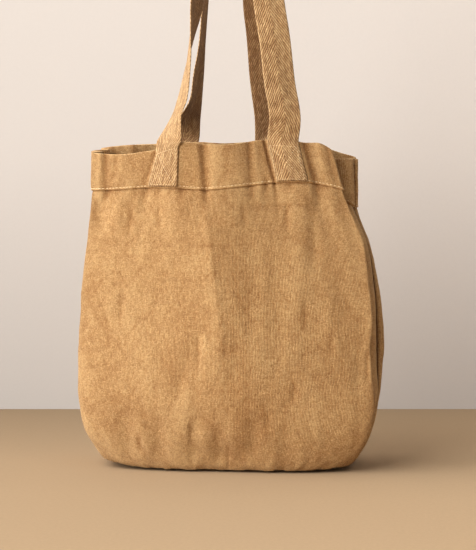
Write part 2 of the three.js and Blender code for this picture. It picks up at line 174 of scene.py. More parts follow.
# The share of a fold's height over which each end fades. The pressed crease: the height above which it is
# crisp, the height below that over which it softens, the least rounding of its ridge, the height where it
# is at its full depth, and how much it is flattened between two heights by the hem
FOLD_ENDS = 0.35
PRESS = {"crisp": 185, "softens": 150, "least": 0.6, "full": 190, "hem": (320, 410), "flattened": 0.2}


def fold_bell(fold, x, z):
    """How much of a fold is at a place: a bell across it that leans as it rises and fades at both its ends"""
    up = (z - fold["low"]) / (fold["high"] - fold["low"])
    ends = ease(up, 0, FOLD_ENDS) * ease(1 - up, 0, FOLD_ENDS)
    return ends * mound(x - fold["x"] - fold["lean"] * up, fold["width"])


def relief(panel, x, z):
    """How far the pressed crease and the folds carry the cloth outwards. The crease is a tent that leans as
    it rises, crisp above and soft below. Half of its depth stands out at the ridge"""
    crease = panel["crease"]
    ridge = crease["foot_x"] + crease["lean"] * z
    soft = crease["soft"] * ease(PRESS["crisp"] - z, 0, PRESS["softens"]) + PRESS["least"]
    rise = ease(z, 0, PRESS["full"]) * (1 - PRESS["flattened"] * ease(z, *PRESS["hem"]))
    slope = np.where(x < ridge, crease["left"], crease["right"])
    tent = 1 - (np.hypot(x - ridge, soft) - soft) / slope
    out = crease["out"] * rise * (tent - 0.5)
    for fold in panel["folds"]:
        out = out + fold["out"] * fold_bell(fold, x, z)
    return out


HEM_FOOT = 352


def seam_run(panel, side):
    """The length of a hem's foot from the middle to one side seam"""
    face = panel["face"]
    return float(along(SECTIONS, side + "_" + face, HEM_FOOT) + along(SECTIONS, face, HEM_FOOT))


def share_of(panel, run):
    """A place along the hem's foot as a share of the way to its seam, below 0 on the left"""
    return np.where(run < 0, run / seam_run(panel, "left"), run / seam_run(panel, "right"))


def from_seam(panel, run):
    """How far a place along the hem's foot lies from the nearer side seam"""
    return np.minimum(run + seam_run(panel, "left"), seam_run(panel, "right") - run)


def height_of(panel, run, level):
    """The height of a level: its share of the hem's foot up to level 1, and of the hem from there to 2"""
    foot, top = along(panel["hem"], "foot", run), along(panel["hem"], "top", run)
    return np.where(level <= 1, level * foot, foot + (level - 1) * (top - foot))


def from_foot(panel, z, level):
    """How far a place is from the bag's foot: its height, or its distance in under the base"""
    return np.where(level > 0, z, -level * along(SECTIONS, panel["face"], 0))


def hem_share(level, at_foot, below):
    """How much of a hem's own form a level takes: at_foot at the hem's foot, growing to 1 at its top, and
    at_foot times below on the wall"""
    return np.where(level >= 1, at_foot + (1 - at_foot) * np.clip(level - 1, 0, 1), at_foot * below)


# How much of the hem's waves its foot has and how far they fade below it, the gap between the panels, how
# much shorter each end of the base is than the foot above it, and how the bag's foot lifts at its edge
# and at its two ends
HEM_WAVE = {"at_foot": 0.75, "fade": 62}
SEAM_GAP = 0.3
BASE_END = 12
FOOT_LIFT = {"rise": 2.6, "reach": 11}
END_LIFT = {"left": 4.5, "right": 2.5, "start": 90, "full": 160, "reach": 22}


def cloth(panel, run, level):
    """A point of the smooth cloth. run is the distance along the hem's foot from the middle. level is from
    -1 to 0 on the base, 0 to 1 up the wall and 1 to 2 up the hem"""
    left, right = seam_run(panel, "left"), seam_run(panel, "right")
    run, level = np.broadcast_arrays(np.clip(run, -left, right), np.clip(level, -1, 2))
    share = share_of(panel, run)
    z = np.maximum(height_of(panel, run, level), 0)
    x, out, folded = section(panel, share, z)
    below = along(panel["hem"], "foot", run) - z
    wave = hem_share(level, HEM_WAVE["at_foot"], mound(below, HEM_WAVE["fade"]))
    out = out + (relief(panel, x, z) + along(panel["hem"], "out", run) * wave) * folded
    x = x + along(panel["hem"], "draw", run) * np.clip(level - 1, 0, 1)
    under = np.maximum(-level, 0)
    x = x + (share * (by_side(share, "seam", 0) - BASE_END) - x) * under
    z = z + FOOT_LIFT["rise"] * np.exp(-from_foot(panel, z, level) / FOOT_LIFT["reach"])
    end_lift = np.where(x < 0, END_LIFT["left"], END_LIFT["right"]) * np.exp(-z / END_LIFT["reach"])
    z = z + end_lift * ease(np.abs(x), END_LIFT["start"], END_LIFT["full"])
    return np.stack([x, panel["facing"] * (SEAM_GAP / 2 + out * (1 - under)), z], -1)


def unit(vectors):
    return vectors / np.linalg.norm(vectors, axis=-1, keepdims=True)


RUN_STEP = 1.0
LEVEL_STEP = 0.003


def smooth_skin(panel, run, level):
    """Points of the smooth cloth and their outward directions, square to the lines through the neighbours"""
    over = cloth(panel, run + RUN_STEP, level) - cloth(panel, run - RUN_STEP, level)
    up = cloth(panel, run, level + LEVEL_STEP) - cloth(panel, run, level - LEVEL_STEP)
    outward = np.where((level < 0)[..., None], [0, 0, -1], np.cross(over, up) * -panel["facing"])
    return cloth(panel, run, level), unit(outward)


LATTICE = 64


def rumple(across, up, cell, seed):
    """Soft noise from -1 to 1: seeded heights on a lattice of cells, cell wide and high, eased between the
    four corners around each place"""
    heights = np.random.default_rng(seed).uniform(-1, 1, (LATTICE, LATTICE))
    u, v = across / cell[0], up / cell[1]
    i, j = np.floor(u).astype(int), np.floor(v).astype(int)
    s, t = ease(u - i), ease(v - j)
    near = [[heights[(i + a) % LATTICE, (j + b) % LATTICE] for b in (0, 1)] for a in (0, 1)]
    low = near[0][0] + (near[1][0] - near[0][0]) * s
    high = near[0][1] + (near[1][1] - near[0][1]) * s
    return low + (high - low) * t


def rumples(size, run, up, seed):
    """The noise of one size of rumple: a cell's width and height, and its sideways shear for each rise"""
    return rumple(run + size["shear"] * up, up, (size["wide"], size["high"]), seed)


# Rumples of the washed cloth, from soft swells to small dents, and the creases of crushed linen, whose
# sides rise from sharp valleys and are lowered by their mean height. The doubled hem takes less of both
RUMPLES = table("wide high shear out", [
    (34, 70, 0.25, 0.45),
    (15, 48, -0.1, 0.28),
    (9, 26, 0.35, 0.22),
    (6, 15, -0.3, 0.16),
])
CREASES = table("wide high shear out", [(26, 44, 0.5, 0.45), (17, 30, -0.55, 0.3), (11, 20, 0.2, 0.2)])
CREASE_SIDES = {"sharp": 3.2, "mean": 0.55}
HEM_STIFF = 0.45
# Puckers at the hem's stitching, the pleats of the hem, the gathers above the base, the flat place under
# a handle's end, and the calm cloth beside the seams and on the base
PUCKER = {"wide": 7.5, "high": 40, "shear": 0.2, "ridge": 1.045, "valley": 1.815, "below": 15, "above": 6}
PLEATS = {"at_foot": 0.7, "fade": 16}
GATHER = {"wide": 8, "high": 60, "shear": 0.15, "deep": 1.0, "fade": 42, "start": 10}
STRAP_WIDTH = 39
PRESSED_FLAT = {"beside": 3, "edge": 5, "below": 6, "above": 2}
CALM_SEAM = 9
CALM_BASE = (-0.6, 0.1)
# What is added to a panel's seed for each kind of noise
SEEDS = {"crease": 20, "strong": 30, "pucker": 40, "gather": 50, "ragged": 60, "webbing": 70}


def handwork(panel, run, level):
    """How far each place of the cloth stands off the smooth cloth, without the hem's own thickness: rumples,
    creases that are valleys along the noise's zero lines, puckers on both sides of the hem's stitching, the
    hem's pleats, and gathers above the base. Under a handle's end the hem stays flat"""
    foot, up, seed = along(panel["hem"], "foot", run), height_of(panel, run, level), panel["seed"]
    out = np.zeros_like(up)
    for n, size in enumerate(RUMPLES):
        out = out + size["out"] * rumples(size, run, up, seed + n)
    for n, size in enumerate(CREASES):
        fine = np.abs(rumples(size, run, up, seed + SEEDS["crease"] + n))
        out = out + size["out"] * (1 - np.exp(-fine * CREASE_SIDES["sharp"]) - CREASE_SIDES["mean"])
    out = out * np.where(level > 1, HEM_STIFF, 1)
    below = foot - up
    pull = np.where(below > 0, np.exp(-below / PUCKER["below"]), np.exp(below / PUCKER["above"]))
    pucker = rumples(PUCKER, run, below, seed + SEEDS["pucker"])
    out = out + pull * pucker * np.where(pucker > 0, PUCKER["ridge"], PUCKER["valley"])
    pleated = hem_share(level, PLEATS["at_foot"], np.exp(-np.maximum(below, 0) / PLEATS["fade"]))
    for pleat in panel["pleats"]:
        across = run - pleat["run"] - pleat["lean"] * np.clip(level - 1, 0, 1)
        out = out + pleat["out"] * pleated * mound(across, pleat["width"])
    gather = rumples(GATHER, run, up, seed + SEEDS["gather"]) * ease(up, 0, GATHER["start"])
    out = out + GATHER["deep"] * gather * np.exp(-np.maximum(up, 0) / GATHER["fade"])
    for middle in panel["straps"]:
        under = ease(STRAP_WIDTH / 2 + PRESSED_FLAT["beside"] - np.abs(run - middle), 0, PRESSED_FLAT["edge"])
        out = out * (1 - under * ease(up, foot - PRESSED_FLAT["below"], foot + PRESSED_FLAT["above"]))
    return out * ease(from_seam(panel, run), 0, CALM_SEAM) * ease(level, *CALM_BASE)


# Painted shade along the creases: how thin its lines are on their noise, and the size of the patches where
# they are strong. Folds narrower than a width get painted shade too, as do the puckers just below the hem,
# and a patch of painted shade low on the face
CREASE_SHADE = {"line": 0.07, "wide": 38, "high": 52, "shear": 0, "strong": (-0.1, 0.6)}
FOLD_SHADE = {"narrower": 4, "much": 1.6}
PUCKER_SHADE = {"much": 1.5, "reach": 9}
LOW_SHADE_PATCH = {"x": 24, "wide": 55, "up": 48, "high": 62, "deep": 0.9}


def crease_shade(panel, run, level):
    """1 along the bottoms of the crushed creases, in the puckers under the hem and in the narrow folds,
    falling to 0 beside them: painted shade, from the same noise as in handwork, as bells round its zero
    lines, and its dips. A soft patch of painted shade low on the face lies over them"""
    up, seed = height_of(panel, run, level), panel["seed"]
    x = section(panel, share_of(panel, run), up)[0]
    # A patch of painted shade low on the face
    lines = LOW_SHADE_PATCH["deep"] * mound(x - LOW_SHADE_PATCH["x"], LOW_SHADE_PATCH["wide"]) * mound(up - LOW_SHADE_PATCH["up"], LOW_SHADE_PATCH["high"])
    for n, size in enumerate(CREASES):
        strong = ease(rumples(CREASE_SHADE, run, up, seed + SEEDS["strong"] + n), *CREASE_SHADE["strong"])
        fine = rumples(size, run, up, seed + SEEDS["crease"] + n)
        lines = lines + mound(fine, CREASE_SHADE["line"]) * strong
    for fold in panel["folds"][panel["folds"]["width"] < FOLD_SHADE["narrower"]]:
        lines = lines + FOLD_SHADE["much"] * fold_bell(fold, x, up) * (level < 1)
    below = along(panel["hem"], "foot", run) - up
    dips = np.maximum(-rumples(PUCKER, run, below, seed + SEEDS["pucker"]), 0) * (below > 0)
    return lines + PUCKER_SHADE["much"] * dips * np.exp(-np.abs(below) / PUCKER_SHADE["reach"])


# The hem's thickness and rolled foot, the height of its stitching and the groove that it lies in, how
# the cloth is drawn in below the hem and at the side edges, the height that no cloth lies below, and the
# ragged foot of the bag
HEM_PROUD = 1.7
HEM_ROUND = 1.2
STITCH_UP = 2.6
GROOVE = {"deep": 0.5, "width": 1.2}
DRAWN_IN = {"deep": 1.3, "fade": 3}
EDGE_ROLL = {"deep": 1.3, "width": 2.2}
LOWEST = 0.15
RAGGED = {"wide": 8, "high": 1, "shear": 0, "more": 0.1, "lift": 3.0, "reach": 7}


def outer_skin(panel, run, level):
    """Points on the outside of the finished cloth, their outward directions, and how far they stand off the
    smooth cloth. The hem is proud with a rolled foot, its stitching lies in a groove, the cloth just below
    is drawn in, the side edges roll into the seams, and the foot of the bag is ragged"""
    run, level = np.broadcast_arrays(np.asarray(run, float), np.asarray(level, float))
    point, normal = smooth_skin(panel, run, level)
    up = height_of(panel, run, level)
    above = up - along(panel["hem"], "foot", run)
    rolled = np.sqrt(1 - (1 - np.clip(above / HEM_ROUND, 0, 1)) ** 2)
    hem = HEM_PROUD * rolled - GROOVE["deep"] * mound(above - STITCH_UP, GROOVE["width"])
    hem = np.where(level > 1, hem, -DRAWN_IN["deep"] * np.exp(above / DRAWN_IN["fade"]))
    roll = EDGE_ROLL["deep"] * mound(from_seam(panel, run), EDGE_ROLL["width"])
    off = handwork(panel, run, level)
    point = point + normal * (hem - roll + off)[..., None]
    point[..., 2] = np.maximum(point[..., 2], LOWEST)
    ragged = np.maximum(rumples(RAGGED, run, 0 * run, panel["seed"] + SEEDS["ragged"]) + RAGGED["more"], 0)
    point[..., 2] += RAGGED["lift"] * ragged * np.exp(-from_foot(panel, up, level) / RAGGED["reach"])
    return point, normal, off


# Levels of the rows of points, an odd number in all, so that every second one takes in the first and the
# last. Distances from a seam of the columns beside it, and the pitch of those between. Angles round the
# rim, the cloth's thickness, and the height of the hem on the flat cloth
BASE_ROWS = -np.array([1, 0.82, 0.64, 0.48, 0.34, 0.22, 0.13, 0.06])
FOOT_ROWS = np.array([0, 0.003, 0.007, 0.012, 0.018, 0.024])
WALL_ROWS = np.linspace(0.03, 0.965, 176)
PULL_ROWS = np.array([0.97, 0.976, 0.982, 0.987, 0.991, 0.994, 0.9965, 0.9985, 0.9999])
ROLL_ROWS = [0.0002, 0.008, 0.018, 0.032, 0.05, 0.066, 0.085, 0.11]
HEM_ROWS = 1 + np.concatenate([ROLL_ROWS, np.linspace(0.145, 1, 26)])
EDGE_RUNS = np.array([0, 0.6, 1.4, 2.4, 3.6, 5, 6.6])
EDGE_END = 8.4
RUN_PITCH = 1.9
RIM_TURNS = np.radians([22, 55, 90, 125, 158])
CLOTH = 1.1
HEM_HIGH = 50
# The bag's middle in plan from the part's origin
TO_MIDDLE = np.array([6.0, 1.5, 0.0])
MM = 0.001


def make_mesh(name, points, faces, uv=None, **tints):
    """A smooth-shaded mesh object from points in millimetres, faces, and for each point its place on the
    flat cloth in millimetres and any named tints"""
    mesh = bpy.data.meshes.new(name)
    mesh.from_pydata(((points.reshape(-1, 3) + TO_MIDDLE) * MM).tolist(), [], faces)
    mesh.polygons.foreach_set("use_smooth", np.ones(len(mesh.polygons), bool))
    corner = np.empty(len(mesh.loops), int)
    mesh.loops.foreach_get("vertex_index", corner)
    if uv is not None:
        layer = mesh.uv_layers.new(name="cut")
        layer.uv.foreach_set("vector", (uv.reshape(-1, 2)[corner] * MM).ravel())
    for tint, values in tints.items():
        mesh.attributes.new(tint, "FLOAT", "POINT").data.foreach_set("value", values.ravel())
    made = bpy.data.objects.new(name, mesh)
    bpy.context.scene.collection.objects.link(made)
    return made


def tube_quads(index):
    """Quads round a tube whose points' numbers have a row for each ring, and whose rings close"""
    turned = np.roll(index, -1, axis=1)
    return np.stack([index[:-1], turned[:-1], turned[1:], index[1:]], -1).reshape(-1, 4)


def all_round(outside, rim):
    """Numbers for a panel's whole body: the outside's rows, the rim's, and every second row of the outside
    back down for the inside"""
    rim = np.broadcast_to(rim, (len(RIM_TURNS), outside.shape[1]))
    return np.concatenate([outside, rim, outside[::2][::-1]])


def panel_faces(outer, inner, cols):
    """Faces of a panel's body of so many outer and inner rows and columns: quads from each row to the next
    all round, and at each side edge one for each row of the inside and one for the rim"""
    rows = outer + len(RIM_TURNS) + inner
    index = np.arange(rows * cols).reshape(rows, cols)
    faces = tube_quads(index.T)[:, [0, 3, 2, 1]].tolist()
    edges = [[2 * m, 2 * m + 1, 2 * m + 2, rows - 2 - m, rows - 1 - m] for m in range(inner - 1)]
    edges.append(list(range(outer - 1, rows - inner + 1)))
    for col, turn in ((0, 1), (cols - 1, -1)):
        faces += [index[edge, col][::turn].tolist() for edge in edges]
    return faces


# Tints: the rumples' full height, for the painted shade in the dips and painted light on the tops, the worn
# edges at the hem's foot and at the bag's foot, a painted highlight on the ridge beside the seams, the
# painted shade of the gusset's fold, which widens between two heights and starts at a depth of it, and the
# painted shade of the seam's tuck, which is weaker at the left and ends between two distances from the seam
FULL_RISE = 1.6
HEM_WEAR = {"up": 0.6, "width": 1.6}
FOOT_WEAR = 3.0
SIDE_HIGHLIGHT = {"from_seam": 12, "width": 7, "much": 0.8}
GUSSET_SHADE = {"width": 6, "wider": 8, "between": (300, 350), "from": 9, "over": 8}
TUCK_SHADE = {"full": 10, "left": 0.3, "ends": (3.0, 5.6)}


def panel_tints(panel, run, level, off, length):
    """Numbers that the linen's colour reads: rise, from -1 in the cloth's dips to 1 on its tops, painted
    shade and light; fold on the worn edges of the outside, with a painted highlight beside the seams; hollow,
    painted shade in the tucks at the seams and in the gusset's fold; and crease, painted shade"""
    above, seam = (level - 1) * HEM_HIGH, from_seam(panel, run)
    fold = np.where(above > 0, mound(above - HEM_WEAR["up"], HEM_WEAR["width"]), 0)
    fold = fold + mound(level * along(panel["hem"], "foot", run), FOOT_WEAR)
    fold = fold + SIDE_HIGHLIGHT["much"] * mound(seam - SIDE_HIGHLIGHT["from_seam"], SIDE_HIGHLIGHT["width"])
    fold = all_round(np.clip(fold, 0, 1), 1)
    fold[len(run) + len(RIM_TURNS) :] = 0
    away = seam[0] - VALLEY["from_seam"] * along(SECTIONS, panel["face"], length)
    width = GUSSET_SHADE["width"] + GUSSET_SHADE["wider"] * ease(length, *GUSSET_SHADE["between"])
    deep = np.clip((along(SECTIONS, "valley", length) - GUSSET_SHADE["from"]) / GUSSET_SHADE["over"], 0, 1)
    tuck = along(SECTIONS, "tuck", length) / TUCK_SHADE["full"] * np.where(run[0] < 0, TUCK_SHADE["left"], 1)
    gusset = panel["gusset_shade"] * mound(away, width) * deep
    hollow = gusset + tuck * (1 - ease(seam[0], *TUCK_SHADE["ends"]))
    # rise is painted shade in the dips and painted light on the tops
    rise, crease = np.clip(off / FULL_RISE, -1, 1), crease_shade(panel, run, level)
    rise, crease = all_round(rise, rise[-1]), all_round(crease, crease[-1])
    return {"rise": rise, "fold": fold, "hollow": np.clip(hollow, 0, 1), "crease": crease}


def make_panel(name, panel):
    """One closed body of cloth: rows of the outside from the middle of the base to the hem's top, a rounded
    rim, and every second row of the inside back down, with a strip of faces along each side seam"""
    left, right = seam_run(panel, "left"), seam_run(panel, "right")
    between = np.linspace(-left + EDGE_END, right - EDGE_END, int((left + right) / RUN_PITCH))
    run = np.concatenate([-left + EDGE_RUNS, between, (right - EDGE_RUNS)[::-1]])[:: -panel["facing"]]
    level = np.concatenate([BASE_ROWS, FOOT_ROWS, WALL_ROWS, PULL_ROWS, HEM_ROWS])
    run, level = np.broadcast_arrays(run[None, :], level[:, None])
    outer, normal, off = outer_skin(panel, run, level)
    normal[:, [0, -1], 1] = 0
    normal = unit(normal)
    inner = (smooth_skin(panel, run, level)[0] + normal * (off[..., None] - CLOTH))[::2]
    middle, half = (outer[-1] + inner[-1]) / 2, (outer[-1] - inner[-1]) / 2
    crown = np.linalg.norm(half, axis=-1, keepdims=True) * [0, 0, 1]
    rim = np.array([middle + half * np.cos(turn) + crown * np.sin(turn) for turn in RIM_TURNS])
    points = np.concatenate([outer, rim, inner[::-1]])
    foot = along(panel["hem"], "foot", run)
    flat = np.where(level < 1, level * foot, foot + (level - 1) * HEM_HIGH)
    length = all_round(flat, flat[-1] + 1)
    uv = np.stack(np.broadcast_arrays(run[0], length), -1)
    faces = panel_faces(len(outer), len(inner), run.shape[1])
    return make_mesh(name, points, faces, uv, **panel_tints(panel, run, level, off, length))


class Wire:
    """An output of a material's nodes. The operators add Math nodes, and node() adds a node of any other
    type, with its settings first and then the values or links of its sockets"""

    def __init__(self, tree, socket=None):
        self.tree, self.socket = tree, socket

    def node(self, kind, sockets, output=0, **settings):
        made = self.tree.nodes.new("ShaderNode" + kind)
        stops = settings.pop("stops", ())
        for name, value in settings.items():
            setattr(made, name, value)
        for place, (position, colour) in enumerate(stops):
            element = made.color_ramp.elements
            stop = element[place] if place < len(element) else element.new(position)
            stop.position, stop.color = position, colour
        for name, value in sockets.items():
            if isinstance(value, Wire):
                self.tree.links.new(value.socket, made.inputs[name])
            else:
                made.inputs[name].default_value = value
        return Wire(self.tree, made.outputs[output])

    def out(self, output):
        return Wire(self.tree, self.socket.node.outputs[output])

    def math(self, operation, *others):
        return self.node("Math", dict(enumerate((self, *others))), operation=operation)

    def clamped(self):
        return self.node("Clamp", {0: self})

    def mix(self, low, high):
        """The colour low where this is 0 and high where it is 1"""
        return self.node("Mix", {0: self, 6: low, 7: high}, 2, data_type="RGBA")

    def ramp(self, low, middle, high):
        """A colour that goes from low at 0 through middle to high at 1"""
        return self.node("ValToRGB", {0: self}, stops=((0.0, low), (0.5, middle), (1.0, high)))

    def attribute(self, name):
        return self.node("Attribute", {}, 2, attribute_name=name)

    def beside(self, other):
        """A place with this as its x and the other as its y"""
        return self.node("CombineXYZ", {0: self, 1: other})

    def cells(self, detail, roughness=0.5):
        """Noise from 0 to 1 whose cells are 1 by 1 of this place"""
        sockets = {"Vector": self, "Scale": 1.0, "Detail": detail, "Roughness": roughness}
        return self.node("TexNoise", sockets, noise_dimensions="2D")

    def noise(self, x, y, detail=2.0, roughness=0.5):
        """Noise from -1 to 1 whose cells are x by y millimetres of this place on the cloth"""
        scale = (1 / (x * MM), 1 / (y * MM), 1)
        place = self.node("VectorMath", {0: self, 1: scale}, operation="MULTIPLY")
        return place.cells(detail, roughness) * 2 - 1

    def ridges(self, power):
        """Round ridges 1 apart, |sin| of half a turn for each, to a power"""
        return (self * np.pi).math("SINE").math("ABSOLUTE").math("POWER", power)

    def __add__(self, other):
        return self.math("ADD", other)

    def __sub__(self, other):
        return self.math("SUBTRACT", other)

    def __mul__(self, other):
        return self.math("MULTIPLY", other)

    def __truediv__(self, other):
        return self.math("DIVIDE", other)

    def __rsub__(self, other):
        return self.node("Math", {0: other, 1: self}, operation="SUBTRACT")

    __radd__, __rmul__ = __add__, __mul__


# The mean height of round ridges, which is taken off so that they leave a tone's mean as it is
RIDGE_MEAN = 0.6


def weighed(parts, weights, mean):
    """mean plus each part times its weight"""
    return sum((parts[name] * weight for name, weight in weights.items()), mean)


def start_material(name):
    """The empty node tree of a new material"""
    material = bpy.data.materials.new(name)
    material.use_nodes = True
    material.node_tree.nodes.clear()
    return Wire(material.node_tree)


def finish_material(name, shader):
    """The material, with a shader as its surface"""
    output = shader.tree.nodes.new("ShaderNodeOutputMaterial")
    shader.tree.links.new(shader.socket, output.inputs["Surface"])
    return bpy.data.materials[name]


def cloth_shader(colour, height, depth, roughness, sheen):
    """A matte shader with a sheen of loose fibres, its colour, and a bump of height times depth in
    millimetres"""
    bump = colour.node("Bump", {"Height": height, "Distance": depth * MM, "Strength": 1.0})
    sockets = {
        "Base Color": colour,
        "Roughness": roughness,
        "Specular IOR Level": 0.2,
        "Sheen Weight": sheen,
        "Sheen Roughness": 0.55,
        "Sheen Tint": (1.0, 0.86, 0.66, 1),
        "Normal": bump,
    }
    return colour.node("BsdfPrincipled", sockets)


# Pitch of the threads, the length of a slub along each, and how far apart in its noise two threads lie.
# Cells in millimetres, detail and roughness of each noise. Then what each part adds to tone and height
THREAD = {"pitch": 1.45, "warp_slub": 7, "weft_slub": 5, "apart": 5.3, "detail": 3.0, "roughness": 0.65}
WAVER = {"warp": (9, 9), "weft": (11, 8), "by": 0.5}
LINEN_NOISE = {
    "fuzz": (1.2, 3.0, 2, 0.6),
    "nap": (2.6, 1.2, 2, 0.6),
    "mottle": (5, 7, 3, 0.6),
    "blotch": (34, 46, 2),
}
# In LINEN_TONE, rise is painted shade in the dips and painted light on the tops, crease and hollow are
# painted shade, and fold is the pale worn edges with a painted highlight beside the seams
LINEN_TONE = {
    "thread": 1.1, "weave": 1.0, "fuzz": 0.372, "nap": 0.31, "mottle": 0.2, "blotch": 0.13,
    "rise": 0.28, "fold": 0.2, "hollow": -0.15, "crease": -0.12,
}
LINEN_HEIGHT = {"weave": 0.8, "fuzz": 0.24, "nap": 0.2, "thread": 0.4}
# LINEN_DARK is the near black of the painted shade in the tucks and the gusset's fold, and HOLLOW_SHADE is
# how much of it the full hollow takes
LINEN_DARK = (0.07, 0.027, 0.009, 1)
LINEN_DEEP = (0.30, 0.129, 0.037, 1)
LINEN_MID = (0.56, 0.313, 0.123, 1)
LINEN_PALE = (0.75, 0.50, 0.24, 1)
HOLLOW_SHADE = 0.85


def linen_material():
    """Plain weave: warp and weft threads, a height of |sin| across each, rising where it passes over the
    other. Each thread has its own shade and slubs along it. Over that lie fuzz, blotches of the dye and pale
    worn edges, and painted light and shade: a highlight beside the seams, and shade in the dips, creases,
    puckers, narrow folds, tucks and the gusset's fold"""
    name = "washed linen"
    place = start_material(name).node("UVMap", {}, uv_map="cut")
    x = place.node("SeparateXYZ", {0: place})
    y = x.out(1)
    warp = x / (THREAD["pitch"] * MM) + place.noise(*WAVER["warp"]) * WAVER["by"]
    weft = y / (THREAD["pitch"] * MM) + place.noise(*WAVER["weft"]) * WAVER["by"]
    warp_wave, weft_wave = (warp * np.pi).math("SINE"), (weft * np.pi).math("SINE")
    cross = warp_wave * weft_wave
    warp_up, weft_up = warp_wave.math("ABSOLUTE") + cross, weft_wave.math("ABSOLUTE") - cross
    over = warp_up.math("GREATER_THAN", weft_up)
    warp_place = (warp.math("FLOOR") * THREAD["apart"]).beside(y / (THREAD["warp_slub"] * MM))
    weft_place = (x / (THREAD["weft_slub"] * MM)).beside(weft.math("FLOOR") * THREAD["apart"])
    warp_shade = warp_place.cells(THREAD["detail"], THREAD["roughness"])
    weft_shade = weft_place.cells(THREAD["detail"], THREAD["roughness"])
    parts = {part: place.noise(*cells) for part, cells in LINEN_NOISE.items()}
    parts |= {tint: place.attribute(tint) for tint in ("rise", "fold", "hollow", "crease")}
    parts["thread"] = weft_shade + over * (warp_shade - weft_shade) - 0.5
    parts["weave"] = warp_up.math("MAXIMUM", weft_up) * 0.5 - RIDGE_MEAN
    colour = weighed(parts, LINEN_TONE, mean=0.5).clamped().ramp(LINEN_DEEP, LINEN_MID, LINEN_PALE)
    colour = (parts["hollow"] * HOLLOW_SHADE).mix(colour, LINEN_DARK)
    height = weighed(parts, LINEN_HEIGHT, mean=0.88)
    return finish_material(name, cloth_shader(colour, height, depth=1.1, roughness=0.92, sheen=0.2))


linen = linen_material()
front_panel = make_panel("front_panel_linen", FRONT)
front_panel.data.materials.append(linen)
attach(front_panel, "root")
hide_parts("front_panel")

# Back panel
# The second cut of the same linen, with the back half of the base. Its hem stands a little higher than
# the face's and is stitched in the same way, and it swells out close beside the side seams.
BACK = {
    "face": "back",
    "facing": 1,
    "swell": 0.24,
    "gusset_shade": 0,
    "straps": (-80, 46),
    "seed": 211,
    "crease": {"foot_x": 4, "lean": 0.02, "out": 12, "left": 200, "right": 200, "soft": 40},
    "hem": table("run foot top out draw", [
        (-232, 354, 404, 0, 0), (-190, 357, 409, 2, 0), (-150, 359, 413, -4, 2),
        (-108, 361, 415, 1, 6), (-82, 362, 416, 3, 6), (-56, 361, 417, 0, 5),
        (-20, 359, 415, -6, 0), (16, 361, 417, 2, -4), (46, 363, 419, 4, -5),
        (76, 362, 417, -2, -5), (110, 359, 411, -6, -4), (146, 352, 400, 1, -2),
        (172, 338, 394, 0, 0), (208, 329, 392, 0, 0),
    ]),
    "folds": table("x low high lean width out", [
        (-150, 230, 352, -4, 12, -3.4), (-112, 180, 362, 6, 12, -3), (-58, 210, 364, 2, 11, -2.8),
        (-20, 250, 362, 0, 13, -3.2), (84, 190, 360, -6, 12, -3.2), (118, 240, 360, -4, 11, -3.6),
        (-90, 60, 190, 18, 13, -2.4), (50, 70, 210, 10, 13, -2.6), (132, 80, 200, 6, 12, -2.6),
        (-110, 6, 70, -4, 11, -2.4), (-30, 6, 74, 4, 11, -2.8), (60, 6, 72, -3, 11, -2.6),
    ]),
    "pleats": table("run lean width out", [
        (-172, 3, 5, -1.4), (-141, -2, 4, -1.8), (-122, 2, 5, 0.9),
        (-52, 3, 4, -1.8), (-26, -3, 5, -2.2), (2, 2, 6, 0.9),
        (16, 4, 4, -1.9), (78, -4, 4, -2.4), (96, 2, 6, 1),
        (118, -3, 4, -1.6), (150, 2, 5, -1), (186, 0, 5, -0.9),
    ]),
}
back_panel = make_panel("back_panel_linen", BACK)
back_panel.data.materials.append(linen)
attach(back_panel, "root")
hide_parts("back_panel")


# Hem stitching
# One row of thick tan thread along the foot of each hem, in a lockstitch of a little under five
# millimetres. Each stitch is a short arc of thread that dips into the cloth at both ends.
STITCH = {"pitch": 4.6, "long": 3.5, "thick": 0.95, "rings": 7, "sides": 7}
# The share of a half turn left off at each end, and, in thicknesses, how a stitch rises and sinks
STITCH_FORM = {"end": 0.03, "rises": 0.3, "sinks": 0.18}
STITCH_SEED = 5


def many_tubes(name, points, shade, capped):
    """Many like tubes as one mesh, each with its own shade: points has a tube, a ring and a place round the
    ring on its first three axes"""
    count, rings, sides = points.shape[:3]
    index = np.arange(rings * sides).reshape(rings, sides)
    first = (np.arange(count) * index.size)[:, None, None]
    faces = (first + tube_quads(index)).reshape(-1, 4).tolist()
    if capped:
        faces += (first[:, 0] + index[0][::-1]).tolist() + (first[:, 0] + index[-1]).tolist()
    return make_mesh(name, points, faces, shade=np.repeat(shade, index.size))


def stitch_mesh(name, rows, size):
    """Rows of stitches as one mesh: each is a bent capsule along its direction, whose radius and height off
    the cloth follow a half ellipse from end to end"""
    middles, directions, normals = (np.concatenate(part) for part in zip(*rows))
    t = np.cos(np.pi * np.linspace(1 - STITCH_FORM["end"], STITCH_FORM["end"], size["rings"]))[:, None]
    turn = np.arange(size["sides"]) * 2 * np.pi / size["sides"]
    bulge = np.sqrt(1 - t * t) * size["thick"]
    high = bulge * (np.sin(turn) / 2 + STITCH_FORM["rises"]) - STITCH_FORM["sinks"] * size["thick"]
    shape = np.stack(np.broadcast_arrays(t * size["long"] / 2, bulge * np.cos(turn) / 2, high), -1)
    axes = np.stack([directions, unit(np.cross(normals, directions)), normals], 1)
    points = middles[:, None, None, :] + np.einsum("rsk,nkx->nrsx", shape, axes)
    shade = np.random.default_rng(STITCH_SEED).uniform(-1, 1, len(middles))
    return many_tubes(name, points, shade, capped=True)


# How far the row stops from a seam and from a handle, the sewer's wobble, and a step along the row
HEM_ROW = {"seam": 4, "strap": 1.5, "wobble": 0.25, "step": 0.6}


